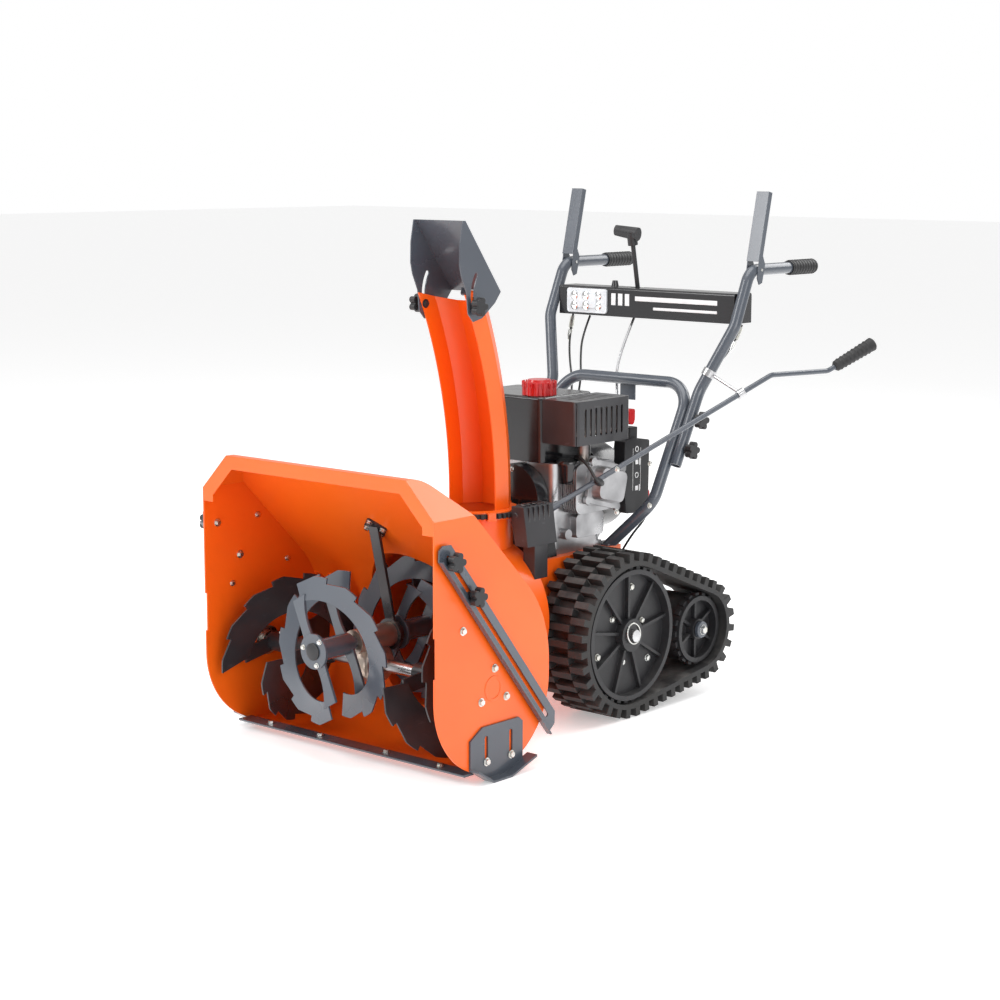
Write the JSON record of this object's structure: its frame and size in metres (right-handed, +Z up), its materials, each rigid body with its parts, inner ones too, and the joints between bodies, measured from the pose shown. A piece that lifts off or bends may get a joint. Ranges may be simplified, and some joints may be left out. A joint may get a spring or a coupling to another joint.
{
  "type": "tracked snow blower",
  "caption": "Tracked walk-behind petrol snow blower with cross augers, accelerators, impeller, turning discharge chute with tilting deflector, tall handlebars and control panel.",
  "frame": {"origin": "on the ground, on the centre plane, straight below the auger shaft", "axes": "+X to the operator's left, -Y to the front of the machine, +Z up"},
  "size_m": [0.7689, 1.289, 1.0675],
  "materials": {
    "orange_paint": "gloss",
    "slate_paint": "gloss",
    "black_paint": "satin",
    "black_plastic": "matte",
    "track_rubber": "matte",
    "cast_aluminium": "satin",
    "bare_steel": "satin",
    "zinc_fixings": "satin",
    "red_plastic": "gloss",
    "lamp_lens": "gloss"
  },
  "bodies": {
    "frame": {"drum_shell": "orange_paint", "side_plate_left": "orange_paint", "side_plate_right": "orange_paint", "scraper_bar": "slate_paint", "impeller_housing": "orange_paint", "gear_case": "cast_aluminium", "gear_case_strut": "slate_paint", "worm_bracket": "slate_paint", "crank_eyelet": "slate_paint", "chassis_frame": "orange_paint", "track_belt_left": "track_rubber", "track_belt_right": "track_rubber", "drive_belt": "track_rubber", "belt_cover": "orange_paint", "crankcase": "cast_aluminium", "cylinder": "cast_aluminium", "rocker_cover": "cast_aluminium", "fuel_tank": "black_plastic", "muffler_guard": "black_paint", "muffler": "bare_steel", "recoil_housing": "black_plastic", "control_box": "black_plastic", "handle_hoop": "slate_paint", "handle_tube_left": "slate_paint", "handle_tube_right": "slate_paint", "hand_grips": "track_rubber", "panel_box": "black_plastic", "headlight": "lamp_lens", "clamp_knobs": "black_plastic", "fixings": "zinc_fixings", "control_cables": "track_rubber"},
    "impeller_stage": {"impeller": "slate_paint", "front_accelerator": "slate_paint", "rear_accelerator": "slate_paint"},
    "auger_stage": {"auger_shaft": "bare_steel", "auger_left": "black_paint", "auger_right": "black_paint"},
    "crankshaft": {"engine_pulley": "bare_steel"},
    "axle": {"drive_axle": "bare_steel", "drive_wheel_left": "black_paint", "drive_wheel_right": "black_paint"},
    "idler_left": {"idler_wheel_left": "black_paint"},
    "idler_right": {"idler_wheel_right": "black_paint"},
    "chute": {"chute_ring": "black_plastic", "chute_channel": "orange_paint", "deflector_knobs": "black_plastic"},
    "deflector": {"deflector": "slate_paint"},
    "chute_worm": {"chute_worm": "bare_steel"},
    "crank": {"crank_rod": "black_plastic"},
    "lever_left": {"clutch_lever_left": "black_plastic"},
    "lever_right": {"clutch_lever_right": "black_plastic"},
    "shift": {"shift_lever": "black_plastic"},
    "cutter_left": {"drift_cutter_left": "slate_paint"},
    "cutter_right": {"drift_cutter_right": "slate_paint"},
    "skid_left": {"skid_shoe_left": "slate_paint"},
    "skid_right": {"skid_shoe_right": "slate_paint"},
    "cap": {"fuel_cap": "red_plastic"},
    "throttle": {"throttle_knob": "black_plastic"},
    "ignition": {"ignition_switch": "red_plastic"},
    "recoil": {"recoil_handle": "black_plastic"}
  },
  "joints": [
    {"name": "impeller_spin", "type": "hinge", "parent": "frame", "child": "impeller_stage", "pos_m": [0, 0.3, 0.22], "axis": [0, 1, 0], "continuous": true},
    {"name": "auger_spin", "type": "hinge", "parent": "frame", "child": "auger_stage", "pos_m": [0, 0, 0.17], "axis": [1, 0, 0], "continuous": true},
    {"name": "crankshaft_spin", "type": "hinge", "parent": "frame", "child": "crankshaft", "pos_m": [0, 0.42, 0.446], "axis": [0, 1, 0], "continuous": true},
    {"name": "axle_spin", "type": "hinge", "parent": "frame", "child": "axle", "pos_m": [0, 0.517, 0.172], "axis": [1, 0, 0], "continuous": true},
    {"name": "idler_left_spin", "type": "hinge", "parent": "frame", "child": "idler_left", "pos_m": [0, 0.765, 0.142], "axis": [1, 0, 0], "continuous": true},
    {"name": "idler_right_spin", "type": "hinge", "parent": "frame", "child": "idler_right", "pos_m": [0, 0.765, 0.142], "axis": [1, 0, 0], "continuous": true},
    {"name": "chute_turn", "type": "hinge", "parent": "frame", "child": "chute", "pos_m": [0, 0.3, 0.43], "axis": [0, 0, 1], "range_deg": [-100, 100]},
    {"name": "deflector_tilt", "type": "hinge", "parent": "chute", "child": "deflector", "pos_m": [0, 0.293, 0.871], "axis": [1, 0, 0], "range_deg": [0, 40]},
    {"name": "chute_worm_spin", "type": "hinge", "parent": "frame", "child": "chute_worm", "pos_m": [0.1035, 0.35, 0.43315], "axis": [0, 1, 0], "range_deg": [-4800, 4800]},
    {"name": "crank_turn", "type": "hinge", "parent": "frame", "child": "crank", "pos_m": [0.1035, 0.404, 0.43315], "axis": [0.4049, 0.7954, 0.451], "range_deg": [-4800, 4800]},
    {"name": "clutch_left_press", "type": "hinge", "parent": "frame", "child": "lever_left", "pos_m": [0.253, 0.905, 0.903], "axis": [-1, 0, 0], "range_deg": [0, 72], "stiffness_Nm_per_rad": 0.8, "springref_deg": -51.57},
    {"name": "clutch_right_press", "type": "hinge", "parent": "frame", "child": "lever_right", "pos_m": [-0.253, 0.905, 0.903], "axis": [-1, 0, 0], "range_deg": [0, 72], "stiffness_Nm_per_rad": 0.8, "springref_deg": -51.57},
    {"name": "shift_select", "type": "hinge", "parent": "frame", "child": "shift", "pos_m": [-0.05, 0.896, 0.822], "axis": [1, 0, 0], "range_deg": [-20, 18]},
    {"name": "cutter_left_slide", "type": "slide", "parent": "frame", "child": "cutter_left", "axis": [0, -0.6293, 0.7771], "range_m": [0, 0.33]},
    {"name": "cutter_right_slide", "type": "slide", "parent": "frame", "child": "cutter_right", "axis": [0, -0.6293, 0.7771], "range_m": [0, 0.33]},
    {"name": "skid_left_adjust", "type": "slide", "parent": "frame", "child": "skid_left", "axis": [0, 0, -1], "range_m": [0, 0.04]},
    {"name": "skid_right_adjust", "type": "slide", "parent": "frame", "child": "skid_right", "axis": [0, 0, -1], "range_m": [0, 0.04]},
    {"name": "fuel_cap_turn", "type": "hinge", "parent": "frame", "child": "cap", "pos_m": [0.02, 0.47, 0.67], "axis": [0, 0, 1], "range_deg": [0, 90]},
    {"name": "throttle_set", "type": "hinge", "parent": "frame", "child": "throttle", "pos_m": [0.1, 0.662, 0.592], "axis": [1, 0, 0], "range_deg": [-25, 25]},
    {"name": "ignition_turn", "type": "hinge", "parent": "frame", "child": "ignition", "pos_m": [0.11, 0.715, 0.427], "axis": [0, 1, 0], "range_deg": [0, 90]},
    {"name": "recoil_pull", "type": "slide", "parent": "frame", "child": "recoil", "axis": [0, 1, 0], "range_m": [0, 0.5], "stiffness_N_per_m": 20, "springref_m": -0.1}
  ],
  "couplings": [
    {"joint": "auger_spin", "follows": "impeller_spin", "ratio": 0.1},
    {"joint": "crankshaft_spin", "follows": "impeller_spin", "ratio": 1.85},
    {"joint": "idler_left_spin", "follows": "axle_spin", "ratio": 1.8},
    {"joint": "idler_right_spin", "follows": "axle_spin", "ratio": 1.8},
    {"joint": "chute_worm_spin", "follows": "chute_turn", "ratio": 48},
    {"joint": "crank_turn", "follows": "chute_turn", "ratio": 48}
  ]
}
